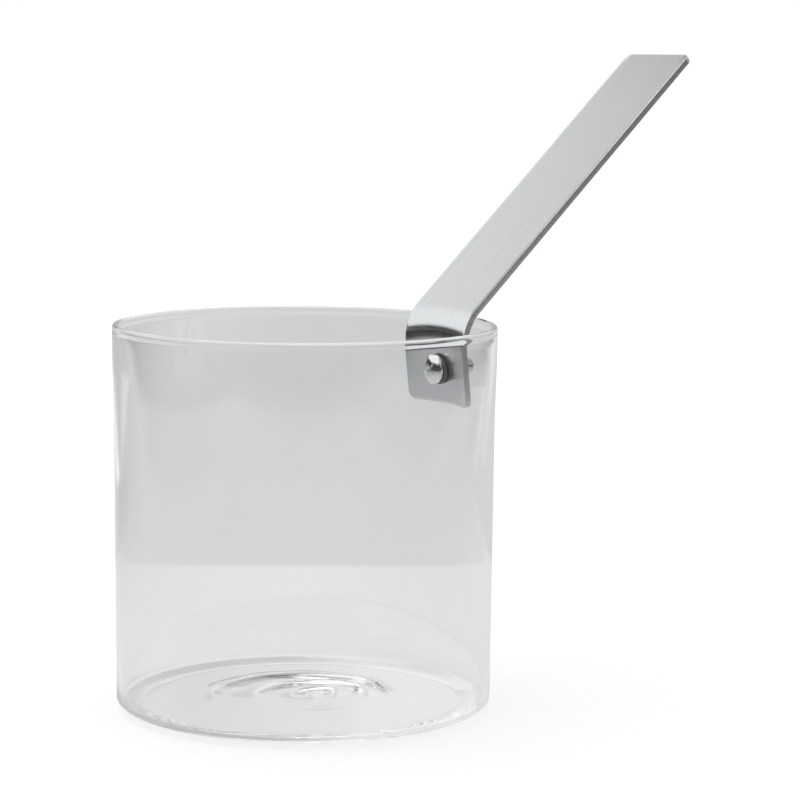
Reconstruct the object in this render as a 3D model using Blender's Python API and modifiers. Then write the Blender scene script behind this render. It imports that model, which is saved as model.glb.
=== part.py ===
"""Milk pan: a straight-sided glass vessel with a bent steel strip for a handle.

The strip's lower end is a short tab inside the vessel, which leans towards the wall and is hollowed to it.
One machine screw goes through a soft washer, the tab, a soft spacer and a bushed hole in the glass to a nut.

Metres, +Z up. The origin is the centre of the underside, and the handle points along +X.
"""

import math

import bmesh
import bpy
from mathutils import Matrix

# Glass vessel
GLASS_HEIGHT = 0.1210
RIM_RADIUS = 0.0600
BODY_RADIUS = 0.0594
BASE_RADIUS = 0.0589
WALL = 0.0018
FLOOR_THICKNESS = 0.0025
RIM_BEAD_RADIUS = 0.00115
RIM_BEAD_HEIGHT = 0.0040
FLARE_HEIGHT = 0.0360
BASE_CORNER_WIDTH = 0.0090
BASE_CORNER_HEIGHT = 0.0052
INNER_FILLET = 0.0028

# Handle strip
STRIP_WIDTH = 0.0326
STRIP_THICKNESS = 0.0020
TAB_STAND_OFF = 0.0043
TAB_BELOW_RIM = 0.0285
TAB_HOLLOW = 0.0027
TAB_LEAN = math.radians(7.8)
TAB_CORNER = 0.0030
CREASE_BELOW_RIM = 0.0021
BEND_RADIUS = 0.0160
BLADE_RISE = math.radians(43.4)
BLADE_LENGTH = 0.1256
BLADE_CORNER = 0.0025

# Screw, nut and soft rings
SCREW_BELOW_RIM = 0.0170
SCREW_DIAMETER = 0.0050
SCREW_LENGTH = 0.0174
SCREW_POINT = 0.0008
HEAD_DIAMETER = 0.0100
HEAD_SIDE = 0.0009
HEAD_DOME = 0.0012
RECESS_SPAN = 0.0048
RECESS_BOTTOM_SPAN = 0.0018
RECESS_WIDTH = 0.0011
RECESS_DEPTH = 0.0022
NUT_ACROSS_FLATS = 0.0072
NUT_THICKNESS = 0.0020
NUT_CHAMFER = 0.0004
NUT_TURN = math.radians(30)
WASHER_DIAMETER = 0.0100
WASHER_THICKNESS = 0.0003
SPACER_DIAMETER = 0.0120
BUSH_WALL = 0.0005
GASKET_DIAMETER = 0.0090
GASKET_THICKNESS = 0.0004

# Clearances that the pieces keep where they touch on the real object
SEAT_GAP = 0.0003
BORE_GAP = 0.0003

# How finely curves are divided
GLASS_SEGMENTS = 96
ROUND_SEGMENTS = 32
FLARE_STEPS = 5
BEAD_STEPS = 6
FILLET_STEPS = 4
CORNER_STEPS = 4
TAB_STEPS = 8
BEND_STEPS = 10
STRIP_COLUMNS = 12
DOME_STEPS = 4

# Heights and bores that follow from the sizes above
SCREW_HEIGHT = GLASS_HEIGHT - SCREW_BELOW_RIM
FLARE_FROM = GLASS_HEIGHT - FLARE_HEIGHT
BEAD_FROM = GLASS_HEIGHT - RIM_BEAD_HEIGHT
CREASE_HEIGHT = GLASS_HEIGHT - CREASE_BELOW_RIM
TAB_END_HEIGHT = GLASS_HEIGHT - TAB_BELOW_RIM
SCREW_BORE = SCREW_DIAMETER + 2 * BORE_GAP
BUSH_DIAMETER = SCREW_BORE + 2 * BUSH_WALL
GLASS_HOLE = BUSH_DIAMETER + 2 * BORE_GAP
CUTTER_REACH = 2 * STRIP_THICKNESS + 2 * TAB_HOLLOW


def new_collection(name):
    collection = bpy.data.collections.new(name)
    bpy.context.scene.collection.children.link(collection)
    return collection


for old in list(bpy.data.objects):
    bpy.data.objects.remove(old, do_unlink=True)
PAN = new_collection("milk_pan")
CUTTERS = new_collection("cutters")


def material(name, color, roughness, metallic=0.0, transmission=0.0):
    made = bpy.data.materials.new(name)
    made.use_nodes = True
    shader = made.node_tree.nodes["Principled BSDF"]
    shader.inputs["Base Color"].default_value = (*color, 1.0)
    shader.inputs["Roughness"].default_value = roughness
    shader.inputs["Metallic"].default_value = metallic
    shader.inputs["Transmission Weight"].default_value = transmission
    made.diffuse_color = (*color, 1.0)
    return made


GLASS = material("clear_glass", (0.93, 0.95, 0.95), 0.02, transmission=1.0)
BRUSHED_STEEL = material("brushed_steel", (0.62, 0.62, 0.61), 0.32, metallic=1.0)
SCREW_STEEL = material("screw_steel", (0.70, 0.70, 0.69), 0.15, metallic=1.0)
NUT_STEEL = material("nut_steel", (0.66, 0.66, 0.65), 0.25, metallic=1.0)
WASHER_SILICONE = material("washer_silicone", (0.30, 0.31, 0.32), 0.5)
SPACER_SILICONE = material("spacer_silicone", (0.72, 0.73, 0.72), 0.5)
BUSH_SILICONE = material("bush_silicone", (0.80, 0.81, 0.80), 0.5)
GASKET_SILICONE = material("gasket_silicone", (0.78, 0.79, 0.78), 0.5)


def add_object(name, mesh, look):
    """Link a mesh as a part with its material, or as a cutter where it has none."""
    made = bpy.data.objects.new(name, mesh)
    if look is None:
        CUTTERS.objects.link(made)
        made.hide_render = True
        made.display_type = "WIRE"
    else:
        PAN.objects.link(made)
        mesh.materials.append(look)
    return made


def smooth(made, sharp_above=35):
    made.data.shade_smooth()
    made.data.set_sharp_from_angle(angle=math.radians(sharp_above))


def boolean(made, other, operation="DIFFERENCE"):
    cut = made.modifiers.new(other.name, "BOOLEAN")
    cut.operation = operation
    cut.solver = "EXACT"
    cut.object = other


def turned(name, profile, segments, look=None):
    """A solid turned about Z from (radius, height) points that run down its outer side."""
    mesh = bpy.data.meshes.new(name)
    points = [(radius, 0.0, height) for radius, height in profile]
    mesh.from_pydata(points, [(i, i + 1) for i in range(len(points) - 1)], [])
    made = add_object(name, mesh, look)
    turn = made.modifiers.new("turn", "SCREW")
    turn.steps = segments
    turn.render_steps = segments
    turn.use_merge_vertices = True
    turn.merge_threshold = 0.00001
    solid = bpy.data.meshes.new_from_object(made.evaluated_get(bpy.context.evaluated_depsgraph_get()))
    made.modifiers.clear()
    made.data = solid
    return made


def lay_on_screw_line(made):
    """Turn a shape made about Z so that its height becomes its distance from the pan's axis, along +X."""
    made.rotation_euler = (0.0, math.radians(90), 0.0)
    made.location = (0.0, 0.0, SCREW_HEIGHT)
    return made


def bar(name, diameter, near, far, look=None, sides=ROUND_SEGMENTS, turn=0.0):
    """A round or many-sided bar on the screw's line, between two distances from the pan's axis."""
    mesh = bpy.data.meshes.new(name)
    shape = bmesh.new()
    place = Matrix.Translation((0.0, 0.0, (near + far) / 2)) @ Matrix.Rotation(turn, 4, "Z")
    bmesh.ops.create_cone(shape, cap_ends=True, segments=sides, radius1=diameter / 2, radius2=diameter / 2,
                          depth=far - near, matrix=place)
    shape.to_mesh(mesh)
    shape.free()
    return lay_on_screw_line(add_object(name, mesh, look))


def arc(centre, radii, start, end, steps):
    """Points of an ellipse's arc, from one angle to another, both in degrees."""
    points = []
    for step in range(steps + 1):
        angle = math.radians(start + (end - start) * step / steps)
        points.append((centre[0] + radii[0] * math.cos(angle), centre[1] + radii[1] * math.sin(angle)))
    return points


# Glass vessel: one turned shape with a hole drilled for the screw


def outer_radius(height):
    """The outer radius at a height: a slight draft up to the flare, then a soft flare to the rim."""
    draft = (BODY_RADIUS - BASE_RADIUS) * min(height / FLARE_FROM, 1.0)
    share = min(max((height - FLARE_FROM) / (BEAD_FROM - FLARE_FROM), 0.0), 1.0)
    return BASE_RADIUS + draft + (RIM_RADIUS - BODY_RADIUS) * share * share * (3 - 2 * share)


def inner_radius(height):
    return outer_radius(height) - WALL


def make_glass_vessel():
    bead_centre = (RIM_RADIUS - RIM_BEAD_RADIUS, GLASS_HEIGHT - RIM_BEAD_RADIUS)
    fillet_top = FLOOR_THICKNESS + INNER_FILLET
    fillet_centre = (inner_radius(fillet_top) - INNER_FILLET, fillet_top)
    corner_centre = (outer_radius(BASE_CORNER_HEIGHT) - BASE_CORNER_WIDTH, BASE_CORNER_HEIGHT)
    flare = [FLARE_FROM + (BEAD_FROM - FLARE_FROM) * step / FLARE_STEPS for step in range(FLARE_STEPS + 1)]

    profile = [(0.0, FLOOR_THICKNESS)]
    profile += arc(fillet_centre, (INNER_FILLET, INNER_FILLET), -90, 0, FILLET_STEPS)
    profile += [(inner_radius(height), height) for height in flare]
    profile += arc(bead_centre, (RIM_BEAD_RADIUS, RIM_BEAD_RADIUS), 200, 0, BEAD_STEPS)
    profile += [(outer_radius(height), height) for height in reversed(flare)]
    profile += arc(corner_centre, (BASE_CORNER_WIDTH, BASE_CORNER_HEIGHT), 0, -90, FILLET_STEPS + 2)
    profile.append((0.0, 0.0))

    vessel = turned("glass_vessel", profile, GLASS_SEGMENTS, GLASS)
    boolean(vessel, bar("screw_hole", GLASS_HOLE, RIM_RADIUS - CUTTER_REACH, RIM_RADIUS + CUTTER_REACH))
    smooth(vessel)


def filled_wall(name, offset):
    """A cutter that fills the vessel at the screw's height, out to its outer face plus an offset."""
    reach = SPACER_DIAMETER
    heights = [SCREW_HEIGHT + reach * step / FLARE_STEPS for step in range(FLARE_STEPS, -FLARE_STEPS - 1, -1)]
    profile = [(0.0, heights[0])]
    profile += [(outer_radius(height) + offset, height) for height in heights]
    profile.append((0.0, heights[-1]))
    return turned(name, profile, 2 * GLASS_SEGMENTS)


# Handle strip: a tab that leans towards the wall and is hollowed to it, a bend at the rim and a flat blade

WALL_RISE = SCREW_HEIGHT - TAB_END_HEIGHT
WALL_LEAN = math.atan2(inner_radius(SCREW_HEIGHT) - inner_radius(TAB_END_HEIGHT), WALL_RISE)
TAB_TURN = TAB_LEAN - WALL_LEAN
BEND_TURN = math.pi / 2 - BLADE_RISE + TAB_TURN
BEND_TANGENT = BEND_RADIUS * math.tan(BEND_TURN / 2)
TAB_LENGTH = (CREASE_HEIGHT - TAB_END_HEIGHT) / math.cos(TAB_TURN) - BEND_TANGENT
BEND_LENGTH = BEND_RADIUS * BEND_TURN
STRIP_LENGTH = TAB_LENGTH + BEND_LENGTH + BLADE_LENGTH - BEND_TANGENT


def hollow_depth(along):
    """How deep the strip is hollowed: most at the tab's end, and no more where the bend ends."""
    faded = min(along / (TAB_LENGTH + BEND_LENGTH), 1.0)
    return TAB_HOLLOW * (1 - faded**2) ** 2


SCREW_ALONG = WALL_RISE / math.cos(TAB_TURN)
TAB_FACE_RADIUS = inner_radius(SCREW_HEIGHT) - TAB_STAND_OFF - STRIP_THICKNESS - hollow_depth(SCREW_ALONG)
TAB_END_RADIUS = TAB_FACE_RADIUS + SCREW_ALONG * math.sin(TAB_TURN)


def strip_place(along, across, depth=0.0):
    """Where a place in the flat strip lies: along from the tab's end, across, and deep from the inner face."""
    straight = min(along, TAB_LENGTH)
    lean = min(max(along - TAB_LENGTH, 0.0), BEND_LENGTH) / BEND_RADIUS - TAB_TURN
    beyond = max(along - TAB_LENGTH - BEND_LENGTH, 0.0)
    x = TAB_END_RADIUS - straight * math.sin(TAB_TURN) + BEND_RADIUS * (math.cos(TAB_TURN) - math.cos(lean))
    z = TAB_END_HEIGHT + straight * math.cos(TAB_TURN) + BEND_RADIUS * (math.sin(TAB_TURN) + math.sin(lean))
    outward = hollow_depth(along) * (1 - (2 * across / STRIP_WIDTH) ** 2) + depth
    return (x + beyond * math.sin(lean) + outward * math.cos(lean), across,
            z + beyond * math.cos(lean) - outward * math.sin(lean))


def tab_face(height, across):
    """How far the tab's inner face is from the pan's axis, at a height and at a distance across."""
    return strip_place((height - TAB_END_HEIGHT) / math.cos(TAB_TURN), across)[0]


def corner_rows(radius):
    """Rows of a strip end with round corners, as (distance from the end, half width)."""
    rows = []
    for step in range(CORNER_STEPS + 1):
        angle = math.pi / 2 * step / CORNER_STEPS
        rows.append((radius * (1 - math.cos(angle)), STRIP_WIDTH / 2 - radius * (1 - math.sin(angle))))
    return rows


def surface_grid(shape, rows, depth=0.0):
    """Faces between rows of points on the strip, each row given as (along, half width)."""
    grid = []
    for along, half_width in rows:
        grid.append([])
        for column in range(STRIP_COLUMNS + 1):
            across = half_width * (2 * column / STRIP_COLUMNS - 1)
            grid[-1].append(shape.verts.new(strip_place(along, across, depth)))
    for low, high in zip(grid, grid[1:]):
        for column in range(STRIP_COLUMNS):
            shape.faces.new((low[column], high[column], high[column + 1], low[column + 1]))


def make_handle_strip():
    tab = [TAB_CORNER + (TAB_LENGTH - TAB_CORNER) * step / TAB_STEPS for step in range(1, TAB_STEPS)]
    rows = corner_rows(TAB_CORNER) + [(along, STRIP_WIDTH / 2) for along in tab]
    bend = [TAB_LENGTH + BEND_LENGTH * step / BEND_STEPS for step in range(BEND_STEPS + 1)]
    rows += [(along, STRIP_WIDTH / 2) for along in bend]
    rows += [(STRIP_LENGTH - before, half_width) for before, half_width in reversed(corner_rows(BLADE_CORNER))]

    mesh = bpy.data.meshes.new("handle_strip")
    shape = bmesh.new()
    surface_grid(shape, rows)
    shape.to_mesh(mesh)
    shape.free()

    strip = add_object("handle_strip", mesh, BRUSHED_STEEL)
    smooth(strip)
    plate = strip.modifiers.new("plate", "SOLIDIFY")
    plate.thickness = STRIP_THICKNESS
    plate.offset = -1.0
    plate.use_even_offset = True
    boolean(strip, bar("strip_hole", SCREW_BORE, TAB_END_RADIUS - CUTTER_REACH, RIM_RADIUS))


def filled_tab(name, depth):
    """A cutter that fills the vessel behind the tab, up to a depth from the tab's inner face."""
    mesh = bpy.data.meshes.new(name)
    shape = bmesh.new()
    rows = [(TAB_LENGTH * step / TAB_STEPS, STRIP_WIDTH / 2) for step in range(TAB_STEPS + 1)]
    surface_grid(shape, rows, depth)
    block = bmesh.ops.extrude_face_region(shape, geom=shape.faces[:], use_keep_orig=True)
    for corner in block["geom"]:
        if isinstance(corner, bmesh.types.BMVert):
            corner.co.x = 0.0
    bmesh.ops.recalc_face_normals(shape, faces=shape.faces)
    shape.to_mesh(mesh)
    shape.free()
    return add_object(name, mesh, None)


# Handle screw: its pan head is inside, seated on the soft washer, and its end is outside, beyond the nut

WASHER_EDGE = WASHER_DIAMETER / 2
WASHER_EDGES = [(SCREW_HEIGHT + WASHER_EDGE, 0.0), (SCREW_HEIGHT, WASHER_EDGE)]
WASHER_EDGES.append((SCREW_HEIGHT - WASHER_EDGE, 0.0))
WASHER_SEAT = min(tab_face(*edge) for edge in WASHER_EDGES) - SEAT_GAP - WASHER_THICKNESS
HEAD_SEAT = WASHER_SEAT - SEAT_GAP
HEAD_TOP = HEAD_SEAT - HEAD_SIDE - HEAD_DOME
SCREW_END = HEAD_SEAT + SCREW_LENGTH


def make_handle_screw():
    head = HEAD_DIAMETER / 2
    shank = SCREW_DIAMETER / 2
    dome_radius = (head**2 + HEAD_DOME**2) / (2 * HEAD_DOME)
    profile = [(0.0, SCREW_END), (shank - SCREW_POINT, SCREW_END), (shank, SCREW_END - SCREW_POINT)]
    profile += [(shank, HEAD_SEAT), (head, HEAD_SEAT)]
    for step in range(DOME_STEPS + 1):
        across = head * (1 - step / DOME_STEPS)
        profile.append((across, HEAD_TOP + dome_radius - math.sqrt(dome_radius**2 - across**2)))
    screw = lay_on_screw_line(turned("handle_screw", profile, ROUND_SEGMENTS, SCREW_STEEL))
    wings = [recess_wing("recess_wing_a", 45), recess_wing("recess_wing_b", 135)]
    boolean(wings[0], wings[1], "UNION")
    boolean(screw, wings[0])
    smooth(screw)


def recess_wing(name, degrees):
    """One wing of the cross recess: a bar across the head that narrows towards its bottom."""
    mesh = bpy.data.meshes.new(name)
    shape = bmesh.new()
    bmesh.ops.create_cube(shape, size=1.0)
    lead_in = HEAD_DOME
    slope = (RECESS_SPAN - RECESS_BOTTOM_SPAN) / RECESS_DEPTH
    for corner in shape.verts:
        depth = RECESS_DEPTH if corner.co.z > 0 else -lead_in
        corner.co.x *= RECESS_SPAN - slope * depth
        corner.co.y *= RECESS_WIDTH
        corner.co.z = HEAD_TOP + depth
    turn = Matrix.Rotation(math.radians(degrees), 3, "Z")
    bmesh.ops.rotate(shape, verts=shape.verts, cent=(0, 0, 0), matrix=turn)
    shape.to_mesh(mesh)
    shape.free()
    return lay_on_screw_line(add_object(name, mesh, None))


# Soft rings between steel and glass, each bored for the screw


def screw_bore(name):
    return bar(name, SCREW_BORE, HEAD_SEAT, SCREW_END + CUTTER_REACH)


def make_head_washer():
    """A soft washer, flat towards the screw's head and moulded to the leaning, hollow tab behind it."""
    washer = bar("head_washer", WASHER_DIAMETER, WASHER_SEAT, RIM_RADIUS, WASHER_SILICONE)
    boolean(washer, filled_tab("washer_tab_side", -SEAT_GAP), "INTERSECT")
    boolean(washer, screw_bore("washer_bore"))
    smooth(washer)


def make_inner_spacer():
    spacer = bar("inner_spacer", SPACER_DIAMETER, TAB_END_RADIUS, RIM_RADIUS, SPACER_SILICONE)
    boolean(spacer, filled_wall("spacer_glass_side", -WALL - SEAT_GAP), "INTERSECT")
    boolean(spacer, filled_tab("spacer_tab_side", STRIP_THICKNESS + SEAT_GAP))
    boolean(spacer, screw_bore("spacer_bore"))
    smooth(spacer)


def make_hole_bush():
    bush = bar("hole_bush", BUSH_DIAMETER, TAB_END_RADIUS, RIM_RADIUS + CUTTER_REACH, BUSH_SILICONE)
    boolean(bush, filled_wall("bush_outer_end", 0.0), "INTERSECT")
    boolean(bush, filled_wall("bush_inner_end", -WALL))
    boolean(bush, screw_bore("bush_bore"))
    smooth(bush)


GASKET_EDGES = (SCREW_HEIGHT - GASKET_DIAMETER / 2, SCREW_HEIGHT + GASKET_DIAMETER / 2)
GASKET_FACE = max(outer_radius(height) for height in GASKET_EDGES) + SEAT_GAP + GASKET_THICKNESS


def make_outer_gasket():
    """A washer of even thickness along the flared wall; the nut clears it where the wall is widest."""
    gasket = bar("outer_gasket", GASKET_DIAMETER, TAB_END_RADIUS, GASKET_FACE + CUTTER_REACH, GASKET_SILICONE)
    boolean(gasket, filled_wall("gasket_nut_side", SEAT_GAP + GASKET_THICKNESS), "INTERSECT")
    boolean(gasket, filled_wall("gasket_glass_side", SEAT_GAP))
    boolean(gasket, screw_bore("gasket_bore"))
    smooth(gasket)


# Handle nut: thin hexagon nut with chamfered corners, turned so that a flat is on top

NUT_SEAT = GASKET_FACE + SEAT_GAP
NUT_FACE = NUT_SEAT + NUT_THICKNESS


def make_handle_nut():
    corners = NUT_ACROSS_FLATS / math.cos(math.radians(30))
    nut = bar("handle_nut", corners, NUT_SEAT, NUT_FACE, NUT_STEEL, sides=6, turn=NUT_TURN)
    face = NUT_ACROSS_FLATS / 2 - NUT_CHAMFER / 2
    chamfered = [(0.0, NUT_FACE), (face, NUT_FACE), (corners / 2, NUT_FACE - NUT_CHAMFER),
                 (corners / 2, NUT_SEAT + NUT_CHAMFER), (face, NUT_SEAT), (0.0, NUT_SEAT)]
    boolean(nut, lay_on_screw_line(turned("nut_chamfer", chamfered, 2 * ROUND_SEGMENTS)), "INTERSECT")
    boolean(nut, screw_bore("nut_bore"))
    smooth(nut)


make_glass_vessel()
make_handle_strip()
make_handle_screw()
make_head_washer()
make_inner_spacer()
make_hole_bush()
make_outer_gasket()
make_handle_nut()
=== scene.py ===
"""The look of a milk pan: a clear glass vessel with a bent strip of brushed steel for a handle."""

import math

import bmesh
import bpy
from mathutils import Matrix, Vector


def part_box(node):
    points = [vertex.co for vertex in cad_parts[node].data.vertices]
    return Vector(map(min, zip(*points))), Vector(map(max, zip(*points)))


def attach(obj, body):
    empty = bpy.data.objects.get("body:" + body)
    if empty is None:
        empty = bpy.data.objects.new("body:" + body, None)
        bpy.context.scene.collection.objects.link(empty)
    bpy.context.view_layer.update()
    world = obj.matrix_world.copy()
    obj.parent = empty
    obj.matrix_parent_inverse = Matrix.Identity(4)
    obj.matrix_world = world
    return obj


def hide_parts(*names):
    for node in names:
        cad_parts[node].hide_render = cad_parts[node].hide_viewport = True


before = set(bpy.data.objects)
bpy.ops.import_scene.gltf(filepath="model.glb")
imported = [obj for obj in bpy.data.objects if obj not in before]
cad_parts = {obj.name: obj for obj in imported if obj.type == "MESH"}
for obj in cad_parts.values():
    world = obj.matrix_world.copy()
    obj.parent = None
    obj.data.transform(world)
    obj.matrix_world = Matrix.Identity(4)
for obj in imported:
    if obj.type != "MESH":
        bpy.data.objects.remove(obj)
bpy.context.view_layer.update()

# Glass vessel
# A straight beaker of clear heat-proof glass, blown in a turned mould, with a fire-polished bead for a rim.
# Its floor keeps the shallow swirl that the cooling gather leaves. One hole is drilled for the screw.

GLASS_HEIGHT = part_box("glass_vessel")[1].z
RIM_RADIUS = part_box("glass_vessel")[1].y
BODY_RADIUS = RIM_RADIUS - 0.0006
BASE_RADIUS = RIM_RADIUS - 0.0011
WALL = 0.0018
FLOOR_THICKNESS = 0.0025
RIM_BEAD_RADIUS = 0.00105
BEAD_FROM = GLASS_HEIGHT - 0.0040
THICKENS_FROM = GLASS_HEIGHT - 0.0032
FLARE_FROM = GLASS_HEIGHT - 0.0360
BASE_CORNER = (0.0120, 0.0036)
BASE_SQUARENESS = 2.2
INNER_FILLET = 0.0014
SCREW_HEIGHT = GLASS_HEIGHT - 0.0170
GLASS_HOLE = 0.0072
GLASS_TURNS = 480
SWIRL_SPACING = 0.0007
FLOOR_SPACING = 0.003
UNDERSIDE_SPACING = 0.006
WALL_SPACING = 0.008
FLARE_SPACING = 0.0025
RIM_SPACING = 0.0002
SEAM_CLOSENESS = 0.000002
FOLD_ANGLE = math.radians(32)
DRILL_TURNS = 64
CLEAR_GLASS = (0.985, 0.99, 0.995)
GLASS_IOR = 1.47
DRAW_MARKS = (90.0, 90.0, 9.0)

# The swirl is one spiral fold. A soft drift draws it out of round, and it is stronger on two of its sides:
# each side has its direction and how strong the swirl stays opposite to it.
SWIRL_CENTRE = (0.0032, 0.0051, 0.0)
SWIRL_REACH = 0.0310
SWIRL_RIM = 0.0040
SWIRL_DEPTH = 0.00056
SWIRL_FOLD = 0.0105
SWIRL_CREST = 0.75
SWIRL_DRIFT = 1.3
SWIRL_DRIFT_FINENESS = 0.4
SWIRL_SIDES = (((0.53, 0.85), 0.04), ((0.85, -0.53), 0.45))
SWIRL_SIDE_FADE = 0.7


def eased(height, start, end):
    """How far a height has come from one height to another, from 0 to 1, with a soft start and end."""
    share = min(max((height - start) / (end - start), 0.0), 1.0)
    return share * share * (3 - 2 * share)


def outer_radius(height):
    """The vessel's outer radius at a height: a slight draft, then a soft flare to the rim."""
    draft = (BODY_RADIUS - BASE_RADIUS) * min(height / FLARE_FROM, 1.0)
    return BASE_RADIUS + draft + (RIM_RADIUS - BODY_RADIUS) * eased(height, FLARE_FROM, BEAD_FROM)


def inner_radius(height):
    """The vessel's inner radius at a height: below the rim the wall thickens inwards to the bead's width."""
    share = eased(height, THICKENS_FROM, GLASS_HEIGHT - RIM_BEAD_RADIUS)
    return outer_radius(height) - WALL - (2 * RIM_BEAD_RADIUS - WALL) * share


def steps_between(start, end, spacing):
    """Values from start to end, both included, no further apart than the spacing."""
    count = max(1, math.ceil(abs(end - start) / spacing))
    return [start + (end - start) * step / count for step in range(count + 1)]


def arc(centre, radii, start, end, spacing):
    """Points of an ellipse's arc, from one angle to another, in degrees."""
    points = []
    for degrees in steps_between(start, end, spacing):
        angle = math.radians(degrees)
        points.append((centre[0] + radii[0] * math.cos(angle), centre[1] + radii[1] * math.sin(angle)))
    return points


def base_corner():
    """Points of the squared oval corner between the wall and the underside."""
    centre = (outer_radius(BASE_CORNER[1]) - BASE_CORNER[0], BASE_CORNER[1])
    points = []
    for degrees in steps_between(0, 90, 3):
        angle = math.radians(degrees)
        reach = math.cos(angle) ** (2 / BASE_SQUARENESS)
        drop = math.sin(angle) ** (2 / BASE_SQUARENESS)
        points.append((centre[0] + BASE_CORNER[0] * reach, centre[1] - BASE_CORNER[1] * drop))
    return points


def level_points(height, start, end, spacing):
    """Points across the floor or the underside, from one radius to another, without the last."""
    return [(radius, height) for radius in steps_between(start, end, spacing)[:-1]]


def wall_points(radius_at, start, end, spacing):
    """Points along one side of the wall, from one height to another, without the last."""
    return [(radius_at(height), height) for height in steps_between(start, end, spacing)[:-1]]


def vessel_profile():
    """The glass's outline as (radius, height), from the middle of the floor over the rim to the underside."""
    fillet_top = FLOOR_THICKNESS + INNER_FILLET
    fillet_centre = (inner_radius(fillet_top) - INNER_FILLET, fillet_top)
    bead_centre = (RIM_RADIUS - RIM_BEAD_RADIUS, GLASS_HEIGHT - RIM_BEAD_RADIUS)
    swirl_end = SWIRL_REACH + math.hypot(*SWIRL_CENTRE)
    corner = base_corner()

    points = level_points(FLOOR_THICKNESS, 0.0, swirl_end, SWIRL_SPACING)
    points += level_points(FLOOR_THICKNESS, swirl_end, fillet_centre[0], FLOOR_SPACING)
    points += arc(fillet_centre, (INNER_FILLET, INNER_FILLET), -90, 0, 9)[:-1]
    points += wall_points(inner_radius, fillet_top, FLARE_FROM, WALL_SPACING)
    points += wall_points(inner_radius, FLARE_FROM, THICKENS_FROM, FLARE_SPACING)
    points += wall_points(inner_radius, THICKENS_FROM, bead_centre[1], RIM_SPACING)
    points += arc(bead_centre, (RIM_BEAD_RADIUS, RIM_BEAD_RADIUS), 180, 0, 8)
    points += wall_points(outer_radius, BEAD_FROM, FLARE_FROM, FLARE_SPACING)
    points += wall_points(outer_radius, FLARE_FROM, BASE_CORNER[1], WALL_SPACING)
    points += corner[:-1]
    points += level_points(0.0, corner[-1][0], 0.0, UNDERSIDE_SPACING)
    points.append((0.0, 0.0))
    return points


def new_object(name, data):
    """A new object in the scene, at the origin."""
    made = bpy.data.objects.new(name, data)
    bpy.context.scene.collection.objects.link(made)
    return made


def line_object(name, points):
    """A mesh line in the XZ plane through (radius, height) points."""
    mesh = bpy.data.meshes.new(name)
    corners = [(radius, 0.0, height) for radius, height in points]
    mesh.from_pydata(corners, [(i, i + 1) for i in range(len(corners) - 1)], [])
    return new_object(name, mesh)


def fill(tree, node, inputs):
    """Gives each input of a node its value, or links it to another node's output."""
    for socket, value in inputs.items():
        if isinstance(value, bpy.types.NodeSocket):
            tree.links.new(value, node.inputs[socket])
        else:
            node.inputs[socket].default_value = value
    return node


def add(tree, kind, inputs=None, **settings):
    """A new node with its settings and its inputs."""
    made = tree.nodes.new(kind)
    for setting, value in settings.items():
        setattr(made, setting, value)
    return fill(tree, made, inputs or {})


def calc(tree, operation, *values):
    """The result of one Math node."""
    return add(tree, "ShaderNodeMath", dict(enumerate(values)), operation=operation).outputs[0]


def times(tree, first, *others):
    """The product of two or more values."""
    for other in others:
        first = calc(tree, "MULTIPLY", first, other)
    return first


def vector_calc(tree, operation, first, second):
    """The result of one Vector Math node on two vectors."""
    return add(tree, "ShaderNodeVectorMath", {0: first, 1: second}, operation=operation).outputs[0]


def scaled(tree, vector, share):
    """A vector or colour times a number."""
    return add(tree, "ShaderNodeVectorMath", {0: vector, 3: share}, operation="SCALE").outputs[0]


def length_of(tree, vector):
    """A vector's length."""
    return add(tree, "ShaderNodeVectorMath", {0: vector}, operation="LENGTH").outputs["Value"]


def joined(tree, **parts):
    """A vector of the parts X, Y and Z, each 0 if it isn't given."""
    return add(tree, "ShaderNodeCombineXYZ", parts).outputs[0]


def mapped(tree, value, start, end, low, high, easing="LINEAR"):
    """A value that passes from low to high while another passes from start to end."""
    return add(tree, "ShaderNodeMapRange", {"Value": value, "From Min": start, "From Max": end, "To Min": low,
                                            "To Max": high}, interpolation_type=easing).outputs[0]


def noise(tree, vector, scale, detail):
    """A noise pattern, as its factor and its colour."""
    return add(tree, "ShaderNodeTexNoise", {"Vector": vector, "Scale": scale, "Detail": detail}).outputs


def form_tree(name, inputs):
    """An empty tree of geometry nodes with named inputs, and the outputs that give them."""
    tree = bpy.data.node_groups.new(name, "GeometryNodeTree")
    for label, kind in inputs.items():
        tree.interface.new_socket(label, in_out="INPUT", socket_type="NodeSocket" + kind)
    tree.interface.new_socket("Solid", in_out="OUTPUT", socket_type="NodeSocketGeometry")
    return tree, tree.nodes.new("NodeGroupInput").outputs


def position(tree):
    """Each point's place."""
    return add(tree, "GeometryNodeInputPosition").outputs[0]


def parts_of(tree, place):
    """The X, Y and Z of a place."""
    return add(tree, "ShaderNodeSeparateXYZ", {0: place}).outputs


def about_axis(tree, x, y):
    """The distance and the angle of a place about the Z axis."""
    return length_of(tree, joined(tree, X=x, Y=y)), calc(tree, "ARCTAN2", y, x)


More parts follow.
